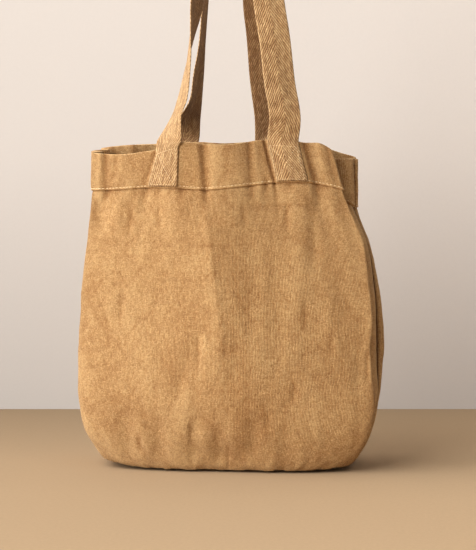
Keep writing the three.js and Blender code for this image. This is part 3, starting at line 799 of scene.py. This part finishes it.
def hem_row(panel):
    """Middles, directions and outward directions of the hem's stitches, left out under the handles, whose
    own stitching holds them there"""
    left, right = seam_run(panel, "left"), seam_run(panel, "right")
    run = np.arange(-left + HEM_ROW["seam"], right - HEM_ROW["seam"], STITCH["pitch"])
    for middle in panel["straps"]:
        run = run[np.abs(run - middle) > STRAP_WIDTH / 2 + HEM_ROW["strap"]]
    wobble = np.random.default_rng(panel["seed"]).uniform(-HEM_ROW["wobble"], HEM_ROW["wobble"], len(run))
    level = 1 + (STITCH_UP + wobble) / HEM_HIGH
    point, normal, _ = outer_skin(panel, run + wobble, level)
    ahead, _, _ = outer_skin(panel, run + wobble + HEM_ROW["step"], level)
    return point, unit(ahead - point), normal


THREAD_TAN = (0.93, 0.72, 0.44, 1)
THREAD_SHADE = (0.68, 0.45, 0.22, 1)
TWIST_SCALE = 1400.0
THREAD_TONE = {"shade": 0.3, "twist": 0.5}


def thread_material():
    """Spun sewing thread: each stitch a little lighter or darker, with a fine twist along it"""
    name = "tan thread"
    start = start_material(name)
    place = start.node("TexCoord", {}, 3)
    twist = place.node("TexNoise", {"Vector": place, "Scale": TWIST_SCALE, "Detail": 2.0})
    parts = {"shade": start.attribute("shade"), "twist": twist - 0.5}
    colour = weighed(parts, THREAD_TONE, mean=0.6).clamped().mix(THREAD_SHADE, THREAD_TAN)
    return finish_material(name, cloth_shader(colour, twist, depth=0.12, roughness=0.8, sheen=0.3))


thread = thread_material()
hem_stitching = stitch_mesh("hem_stitching", [hem_row(FRONT), hem_row(BACK)], STITCH)
hem_stitching.data.materials.append(thread)
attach(hem_stitching, "root")

# Front handle
# One length of cotton webbing, 39 mm wide and 2 mm thick, woven in a broad herringbone. Both ends lie
# flat on the outside of the front hem, down to its stitched foot, and are sewn there.
WEBBING = {"thick": 2.0, "lift": 0.8, "square": 20, "row": 1.7, "end": 1.4, "end_thick": 0.4}
FRONT_ROUTE = table("row x y z turn", [
    (1, -70, -51, 443, -62),
    (2, -62, -49, 466, -64),
    (3, -55, -45, 508, -74),
    (4, -50, -39, 550, -92),
    (5, -45, -32, 590, -107),
    (6, -42, -26, 632, -98),
    (7, -29, -23, 673, -90),
    (8, 1, -23, 692, -90),
    (9, 31, -24, 674, -96),
    (10, 42, -30, 634, -130),
    (11, 46, -38, 588, -170),
    (12, 54, -44, 538, -168),
    (13, 60, -48, 487, -167),
    (14, 67, -51, 442, -172),
])
# Places across the webbing in halves of its width, close together at its rounded edges
EVENLY = np.linspace(-1, 1, 33)
CLOSE_AT_EDGES = 0.35
ACROSS = CLOSE_AT_EDGES * np.sin(EVENLY * np.pi / 2) + (1 - CLOSE_AT_EDGES) * EVENLY
SEWN_LEVELS = 1 + np.linspace(0.03, 1, 31)


def centripetal(places, at):
    """A Catmull-Rom curve through the places, whose pace between two of them is the square root of their
    distance. at counts places from 0, and the curve's first and last stretches are mirrored past its ends"""
    p = np.concatenate([[2 * places[0] - places[1]], places, [2 * places[-1] - places[-2]]])
    i = np.clip(np.floor(at).astype(int), 0, len(places) - 2)
    t = (at - i)[:, None]
    pace = np.linalg.norm(np.diff(p, axis=0), axis=1)[:, None] ** 0.5
    a, b, c = pace[i], pace[i + 1], pace[i + 2]
    p0, p1, p2, p3 = p[i], p[i + 1], p[i + 2], p[i + 3]
    leave = ((p1 - p0) / a - (p2 - p0) / (a + b) + (p2 - p1) / b) * b
    arrive = ((p2 - p1) / b - (p3 - p1) / (b + c) + (p3 - p2) / c) * b
    square, cube = 3 * (p2 - p1) - 2 * leave - arrive, 2 * (p1 - p2) + leave + arrive
    return p1 + leave * t + square * t**2 + cube * t**3


def path_length(points):
    """The length walked along a line of points, at each of them"""
    return np.concatenate([[0], np.cumsum(np.linalg.norm(np.diff(points, axis=0), axis=1))])


def sewn_end(panel, middle):
    """The webbing's middle surface where it is sewn on the hem: the hem's skin, moved outwards"""
    run = middle - panel["facing"] * ACROSS[None, :] * STRAP_WIDTH / 2
    point, normal, _ = outer_skin(panel, run, SEWN_LEVELS[:, None])
    return point + normal * (WEBBING["lift"] + WEBBING["thick"] / 2)


# The free webbing: points on its curve before it is spaced out, a short step along it, the hollow across
# it, the cells and height of its swells, and how far from the sewn ends these forms start and the ends'
# own shape lasts, in millimetres and in places of the route
CURVE = {"points": 4000, "step": 0.01}
CUP = {"out": 1.1, "width": 7.5, "place": 1.5}
SWELL = {"along": 46, "across": 15 / 19, "out": 0.5}
FORMS_FROM = (4, 40)
END_SHAPE = 0.8
SOFTENED = 3


def soften(rows, sewn):
    """Rounds both bends where the webbing leaves the hem: rows near them become the mean of their
    neighbours"""
    made = rows.copy()
    for bend in (sewn, len(rows) - sewn):
        for k in range(bend - SOFTENED, bend + SOFTENED):
            made[k] = rows[k - SOFTENED : k + SOFTENED + 1].mean(0)
    return made


def strap_rows(panel, route):
    """The webbing's middle surface from the left end over the top to the right end: sewn rows, then free
    rows along the route, whose width is turned in plan and kept square to the curve"""
    left, right = (sewn_end(panel, middle) for middle in panel["straps"])
    right = right[::-1, ::-1]
    widths = [left[-1, -1] - left[-1, 0], right[0, -1] - right[0, 0]]
    bends = np.degrees([np.arctan2(width[1], width[0]) for width in widths])
    turns = np.array([bends[0], *route["turn"], bends[1]])
    turns[0] += 360 * np.round((turns[1] - turns[0]) / 360)
    turns[-1] += 360 * np.round((turns[-2] - turns[-1]) / 360)
    free = np.stack([route["x"], route["y"], route["z"]], -1)
    places = np.concatenate([[left[-1, [0, -1]].mean(0)], free, [right[0, [0, -1]].mean(0)]])
    at = np.linspace(0, len(places) - 1, CURVE["points"])
    length = path_length(centripetal(places, at))
    at = np.interp(np.linspace(0, length[-1], int(length[-1] / WEBBING["row"]))[1:-1], length, at)
    middle = centripetal(places, at)
    tangent = unit(centripetal(places, at + CURVE["step"]) - centripetal(places, at - CURVE["step"]))
    turn = np.radians(along(table("at turn", list(enumerate(turns))), "turn", at))
    width = np.stack([np.cos(turn), np.sin(turn), 0 * turn], -1)
    width = unit(width - tangent * (width * tangent).sum(-1, keepdims=True))
    run = np.linspace(0, length[-1], len(at))
    cup = CUP["out"] * mound(ACROSS * STRAP_WIDTH / 2 - CUP["place"], CUP["width"])
    cells, seed = (SWELL["along"], SWELL["across"]), panel["seed"] + SEEDS["webbing"]
    form = cup + SWELL["out"] * rumple(run[:, None], ACROSS[None, :], cells, seed)
    form = form * ease(np.minimum(run, run[::-1]), *FORMS_FROM)[:, None]
    rows = middle[:, None] + width[:, None] * ACROSS[None, :, None] * STRAP_WIDTH / 2
    rows = rows + np.cross(width, tangent)[:, None] * form[..., None]
    for end, away in ((left[-1], at), (right[0], at[::-1])):
        chord = end[0] + (end[-1] - end[0]) * ((ACROSS + 1) / 2)[:, None]
        rows = rows + (end - chord) * (1 - ease(away, 0, END_SHAPE))[:, None, None]
    return soften(np.concatenate([left, rows, right]), len(left))


# How narrow the worn edges are, and the distances from each end over which the painted shade of the free
# webbing's inner face comes in
EDGE_WORN = 9
INSIDE_FROM = (48, 70)


def make_webbing(name, rows):
    """One closed body: a flat tube round the middle surface with rounded edges, thinner at the two ends. Its
    edges are worn, and the inner face of the free webbing carries a painted shade, named hollow"""
    up, over = np.gradient(rows, axis=0), np.gradient(rows, axis=1)
    run = path_length(rows[:, rows.shape[1] // 2])
    from_end = np.minimum(run, run[-1] - run)
    half = WEBBING["thick"] / 2 * np.sqrt(np.clip(1 - np.abs(ACROSS) ** WEBBING["square"], 0, 1))
    end = np.sqrt(1 - (1 - np.clip(from_end / WEBBING["end"], 0, 1)) ** 2)
    end = WEBBING["end_thick"] + (1 - WEBBING["end_thick"]) * end
    lift = unit(np.cross(over, up)) * (half[None, :] * end[:, None])[..., None]
    ring = np.concatenate([rows + lift, (rows - lift)[:, -2:0:-1]], 1)
    across = np.concatenate([ACROSS, ACROSS[-2:0:-1]])
    uv = np.stack(np.broadcast_arrays(across * STRAP_WIDTH / 2, run[:, None]), -1)
    edge = np.broadcast_to(np.clip(1 - (1 - np.abs(across)) * EDGE_WORN, 0, 1), ring.shape[:2])
    inside = np.repeat([0.0, 1.0], [len(ACROSS), len(ACROSS) - 2]) * ease(from_end, *INSIDE_FROM)[:, None]
    index = np.arange(edge.size).reshape(edge.shape)
    faces = tube_quads(index).tolist() + [index[0][::-1].tolist(), index[-1].tolist()]
    return make_mesh(name, ring, faces, uv, fold=edge, hollow=inside)


# Widths in millimetres of the twill's ribs, which are wider along the webbing, of a yarn and of the middle
# line. Cells of the waver of the lines and its size, and how rounded rib and yarn are. Each short yarn has
# its own place in a noise
TWILL = {"across": 3.0, "along": 5.2, "yarn": 0.95, "middle": 0.7, "rib_round": 0.7, "yarn_round": 0.5}
LINE_WAVER = {"across": (9, 14), "across_by": 0.9, "along": (7, 6), "along_by": 1.1}
SHORT_YARN = {"wide": 1.9, "apart": 2.3, "ribs_apart": 3.7}
WEBBING_NOISE = {"grain": (1.4, 2.2, 3, 0.7), "mottle": (7, 12, 3, 0.6)}
# hollow is the painted shade of the webbing's inner face
WEBBING_TONE = {
    "rib": 0.7, "own": 1.1, "grain": 0.5, "mottle": 0.4,
    "fold": 0.25, "hollow": -0.36, "middle": -0.1,
}
WEBBING_HEIGHT = {"rib": 0.7, "yarn": 0.3, "grain": 0.25, "middle": -0.3}
WEBBING_DEEP = (0.2, 0.088, 0.03, 1)
WEBBING_MID = (0.45, 0.255, 0.107, 1)
WEBBING_PALE = (0.70, 0.47, 0.24, 1)


def webbing_material():
    """Herringbone webbing: slanting ribs, |sin| of a phase that grows along the webbing and, mirrored at its
    middle line, across it. Each rib is cut into short yarns, and fuzz and blotches lie over them"""
    name = "herringbone webbing"
    place = start_material(name).node("UVMap", {}, uv_map="cut")
    apart = place.node("SeparateXYZ", {0: place})
    across = apart + place.noise(*LINE_WAVER["across"]) * (LINE_WAVER["across_by"] * MM)
    run = apart.out(1) + place.noise(*LINE_WAVER["along"]) * (LINE_WAVER["along_by"] * MM)
    outwards = across.math("ABSOLUTE")
    phase = outwards / (TWILL["across"] * MM) - run / (TWILL["along"] * MM)
    rib = phase.ridges(TWILL["rib_round"])
    short = (across / (SHORT_YARN["wide"] * MM)).math("FLOOR") * SHORT_YARN["apart"]
    parts = {part: place.noise(*cells) for part, cells in WEBBING_NOISE.items()}
    parts |= {tint: place.attribute(tint) for tint in ("fold", "hollow")}
    parts["rib"] = rib - RIDGE_MEAN
    parts["yarn"] = rib * (across / (TWILL["yarn"] * MM)).ridges(TWILL["yarn_round"])
    parts["middle"] = 1 - (outwards / (TWILL["middle"] * MM)).clamped()
    parts["own"] = (phase.math("FLOOR") * SHORT_YARN["ribs_apart"]).beside(short).cells(1.0) - 0.5
    tone = weighed(parts, WEBBING_TONE, mean=0.38).clamped()
    colour = tone.ramp(WEBBING_DEEP, WEBBING_MID, WEBBING_PALE)
    height = weighed(parts, WEBBING_HEIGHT, mean=0.62)
    return finish_material(name, cloth_shader(colour, height, depth=1.0, roughness=0.88, sheen=0.3))


webbing = webbing_material()
front_handle = make_webbing("front_handle_webbing", strap_rows(FRONT, FRONT_ROUTE))
front_handle.data.materials.append(webbing)
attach(front_handle, "root")
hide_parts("front_handle")

# Back handle
# The second length of the same webbing, sewn on the outside of the back hem with its legs closer
# together, and slumped slightly lower than the front one.
BACK_ROUTE = table("row x y z turn", [
    (1, -65, 51, 446, 226),
    (2, -56.5, 48, 472, 253),
    (3, -52, 43, 506, 258),
    (4, -47, 38, 542, 265),
    (5, -41, 29, 600, 268),
    (6, -36, 24, 640, 270),
    (7, -22, 23, 671, 270),
    (8, -4, 23, 682, 270),
    (9, 15, 23, 671, 272),
    (10, 24, 25, 640, 300),
    (11, 26, 31, 600, 345),
    (12, 31, 39, 556, 358),
    (13, 35, 46, 500, 360),
    (14, 41, 51, 450, 360),
])
back_handle = make_webbing("back_handle_webbing", strap_rows(BACK, BACK_ROUTE))
back_handle.data.materials.append(webbing)
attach(back_handle, "root")
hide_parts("back_handle")

# Handle stitching
# Each sewn end is held by a box of stitches with a cross inside it, in the hem's thread, which sinks into
# the webbing and is much of its tone.
END_STITCH = {"pitch": 3.9, "long": 3.1, "thick": 0.6, "rings": 5, "sides": 6}
END_BOX = {"across": 16.2, "low": 3.4, "high": 44}


def end_rows(panel, middle):
    """The stitches of one sewn end: the four sides of the box and its two diagonals"""
    wide, low, high = END_BOX["across"], END_BOX["low"], END_BOX["high"]
    corners = np.array([(-wide, low), (wide, low), (wide, high), (-wide, high)], float)
    made = []
    for start, stop in ((0, 1), (1, 2), (2, 3), (3, 0), (0, 2), (1, 3)):
        way = corners[stop] - corners[start]
        long = np.linalg.norm(way)
        count = int(long / END_STITCH["pitch"])
        place = corners[start] + way * (np.arange(count)[:, None] + 0.5) / count
        step = way / long / 2
        (before, _, _), (after, _, _), (point, normal, _) = (
            outer_skin(panel, middle + spot[:, 0], 1 + spot[:, 1] / HEM_HIGH)
            for spot in (place - step, place + step, place)
        )
        made.append((point + normal * (WEBBING["lift"] + WEBBING["thick"]), unit(after - before), normal))
    return made


sewn_ends = [(panel, middle) for panel in (FRONT, BACK) for middle in panel["straps"]]
end_stitches = [row for panel, middle in sewn_ends for row in end_rows(panel, middle)]
handle_stitching = stitch_mesh("handle_stitching", end_stitches, END_STITCH)
handle_stitching.data.materials.append(thread)
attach(handle_stitching, "root")

# Loose fibres
# Short ends of linen that stand out of the cut and worn edges, which are the hem's top, its foot and the
# foot of the bag, and here and there out of the walls. Each is a thin curved hair.
FIBRE = {"rings": 6, "sides": 3, "thick": 0.13, "curl": 0.9, "taper": 0.7}
# How much of a fibre's lean is outwards, by chance and up or down, how even their lengths are, and a
# direction from which each one's sides are turned
FIBRE_LEAN = {"out": 0.7, "chance": 0.45, "up": 0.25}
EVENNESS = 2.2
ASKEW = [0.3, 0.2, 0.93]
FIBRE_SEED = 90
# Panel, number, level and its spread, mean length and seed of each band of fibres
FIBRE_BANDS = [
    (FRONT, 260, 1.99, 0.01, 1.5, 71),
    (FRONT, 150, 1.02, 0.02, 0.9, 72),
    (FRONT, 260, 0.01, 0.01, 1.6, 73),
    (FRONT, 500, 0.5, 0.3, 0.7, 74),
    (BACK, 220, 1.99, 0.01, 1.4, 75),
    (BACK, 220, 0.01, 0.01, 1.5, 76),
    (BACK, 400, 0.5, 0.3, 0.7, 77),
]


def fibres_on(panel, count, level, spread, long, seed):
    """Roots on one band of a panel, a direction for each that leans out, and up above the middle of the wall
    or down below it, and each one's length"""
    draw = np.random.default_rng(seed)
    run = draw.uniform(-seam_run(panel, "left"), seam_run(panel, "right"), count)
    at = np.minimum(level + draw.normal(0, spread, count), 2)
    point, normal, _ = outer_skin(panel, run, at)
    lean = normal * FIBRE_LEAN["out"] + draw.normal(0, FIBRE_LEAN["chance"], (count, 3))
    lean = unit(lean + [0, 0, FIBRE_LEAN["up"] * np.sign(level - 0.5)])
    return point, lean, draw.gamma(EVENNESS, long / EVENNESS, count)


def make_fibres(name):
    """Thin tubes along curves: root plus length times (lean times t plus half of the bend times t squared),
    with t from 0 to 1, whose radius shrinks with t"""
    bands = [fibres_on(*band) for band in FIBRE_BANDS]
    roots, leans, lengths = (np.concatenate(part) for part in zip(*bands))
    draw = np.random.default_rng(FIBRE_SEED)
    bends = draw.normal(0, FIBRE["curl"], (len(roots), 3))[:, None]
    t = np.linspace(0, 1, FIBRE["rings"])[None, :, None]
    spine = roots[:, None] + lengths[:, None, None] * (leans[:, None] * t + bends * t * t / 2)
    heading = unit(leans[:, None] + bends * t)
    side = unit(np.cross(heading, ASKEW))
    other = np.cross(heading, side)
    turns = (np.arange(FIBRE["sides"]) * 2 * np.pi / FIBRE["sides"])[:, None]
    around = side[:, :, None] * np.cos(turns) + other[:, :, None] * np.sin(turns)
    points = spine[:, :, None] + around * (FIBRE["thick"] / 2 * (1 - FIBRE["taper"] * t))[..., None]
    points[..., 2] = np.maximum(points[..., 2], 0)
    return many_tubes(name, points, draw.uniform(-1, 1, len(roots)), capped=False)


loose_fibres = make_fibres("loose_fibres")
loose_fibres.data.materials.append(thread)
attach(loose_fibres, "root")

# Floor and backdrop
# A plain pale table top and a plain pale wall behind it, square to the camera. Both carry painted light: they
# are graded a little from left to right and dimmed towards where they meet, as a soft light falls off. The
# wall shows only its front side, so that it hides nothing in views from behind.
CAMERA_AT = np.array([158.2, -1692.2, 322.0])
CAMERA_TURN = np.radians(5)
CAMERA_PITCH = np.radians(87.3974)
STAGE_REACH = 3000
FLOOR_Z = -0.4
WALL = {"away": 2180, "high": 2600}
# Sideways grade of painted light: metres over which it runs, and its strength at the left and the right
GRADE = {"reach": 1.4, "left": 0.84, "right": 1.44}
# A colour and the share of it that the darkest flecks have, the axis of the dimming, the places in metres
# where it is dimmest and where it ends, and the share of light at the dimmest
WALL_LOOK = {
    "colour": (0.576, 0.535, 0.507), "fleck": 0.96,
    "axis": 2, "dim": 0.0, "full": 0.42, "least": 0.84,
}
FLOOR_LOOK = {
    "colour": (0.377, 0.265, 0.161), "fleck": 0.87,
    "axis": 1, "dim": 0.5, "full": -0.2, "least": 0.75,
}
MOTTLE = {"Scale": 260.0, "Detail": 4.0, "Roughness": 0.7}
FLECKS = {"contrast": 1.4, "darker": 0.2}


def stage_sheet(name, corners, look, front_only):
    """A flat quad with a plain, slightly mottled matte colour, times painted light: a grade from left to
    right and a dimming along one axis"""
    mesh = bpy.data.meshes.new(name)
    mesh.from_pydata((np.array(corners) * MM).tolist(), [], [(0, 1, 2, 3)])
    made = bpy.data.objects.new(name, mesh)
    bpy.context.scene.collection.objects.link(made)
    start = start_material(name)
    place = start.node("TexCoord", {}, 3)
    cloud = place.node("TexNoise", {"Vector": place, **MOTTLE})
    darkest = [share * look["fleck"] for share in look["colour"]]
    tint = (cloud * FLECKS["contrast"] - FLECKS["darker"]).clamped().mix((*darkest, 1), (*look["colour"], 1))
    apart = place.node("SeparateXYZ", {0: place})
    side = (apart / GRADE["reach"] + 0.5).clamped()
    lit = ((apart.out(look["axis"]) - look["dim"]) / (look["full"] - look["dim"])).clamped()
    grade = side * (GRADE["right"] - GRADE["left"]) + GRADE["left"]
    grade = grade * (lit * (1 - look["least"]) + look["least"])
    tint = tint.node("VectorMath", {0: tint, 3: grade}, operation="SCALE")
    shader = start.node("BsdfPrincipled", {"Base Color": tint, "Roughness": 0.95, "Specular IOR Level": 0.1})
    if front_only:
        clear = start.node("BsdfTransparent", {})
        facing = start.node("NewGeometry", {}, "Backfacing")
        shader = start.node("MixShader", {0: facing, 1: shader, 2: clear})
    made.data.materials.append(finish_material(name, shader))


ahead = np.array([-np.sin(CAMERA_TURN), np.cos(CAMERA_TURN), 0])
aside = np.array([np.cos(CAMERA_TURN), np.sin(CAMERA_TURN), 0]) * STAGE_REACH
wall_foot = CAMERA_AT * [1, 1, 0] + ahead * WALL["away"]
wall_corners = [wall_foot - aside, wall_foot + aside]
wall_corners += [corner + [0, 0, WALL["high"]] for corner in wall_corners[::-1]]
stage_sheet("backdrop", wall_corners, WALL_LOOK, front_only=True)
floor_corners = [(x * STAGE_REACH, y * STAGE_REACH, FLOOR_Z) for x, y in ((-1, -1), (1, -1), (1, 1), (-1, 1))]
stage_sheet("floor", floor_corners, FLOOR_LOOK, front_only=False)


# Studio light
# One large soft light from the left and the front, a small weak one from the right and the front, and a
# dim even surround.
AIM = np.array([0, 0, 230])
WARM = (1.0, 0.95, 0.9)


def soft_light(name, at, size, power, colour):
    """A square area light that the camera doesn't see, aimed at the bag. Its place and size are in
    millimetres"""
    lamp = bpy.data.lights.new(name, "AREA")
    lamp.size, lamp.energy, lamp.color = size * MM, power, colour
    made = bpy.data.objects.new(name, lamp)
    made.location = np.array(at) * MM
    x, y, z = AIM - at
    made.rotation_euler = (np.arctan2(np.hypot(x, y), -z), 0, np.arctan2(-x, y))
    made.visible_camera = False
    bpy.context.scene.collection.objects.link(made)


soft_light("key", (-1808, -1130, 1420), size=3400, power=200, colour=(1.0, 0.987, 0.955))
soft_light("front", (1160, -1160, 1700), size=700, power=7, colour=WARM)
world = bpy.data.worlds.new("surround")
world.use_nodes = True
surround = world.node_tree.nodes["Background"].inputs
surround["Color"].default_value = (*WARM, 1)
surround["Strength"].default_value = 0.14
bpy.context.scene.world = world
bpy.context.scene.view_settings.view_transform = "Standard"

# Camera
# At the photograph's angle: low, a little to the right, and level enough that the base's front shows.
lens = bpy.data.cameras.new("camera")
lens.sensor_width = 36
lens.lens = 86.4
camera = bpy.data.objects.new("camera", lens)
camera.location = CAMERA_AT * MM
camera.rotation_euler = (CAMERA_PITCH, 0, CAMERA_TURN)
bpy.context.scene.collection.objects.link(camera)
bpy.context.scene.camera = camera
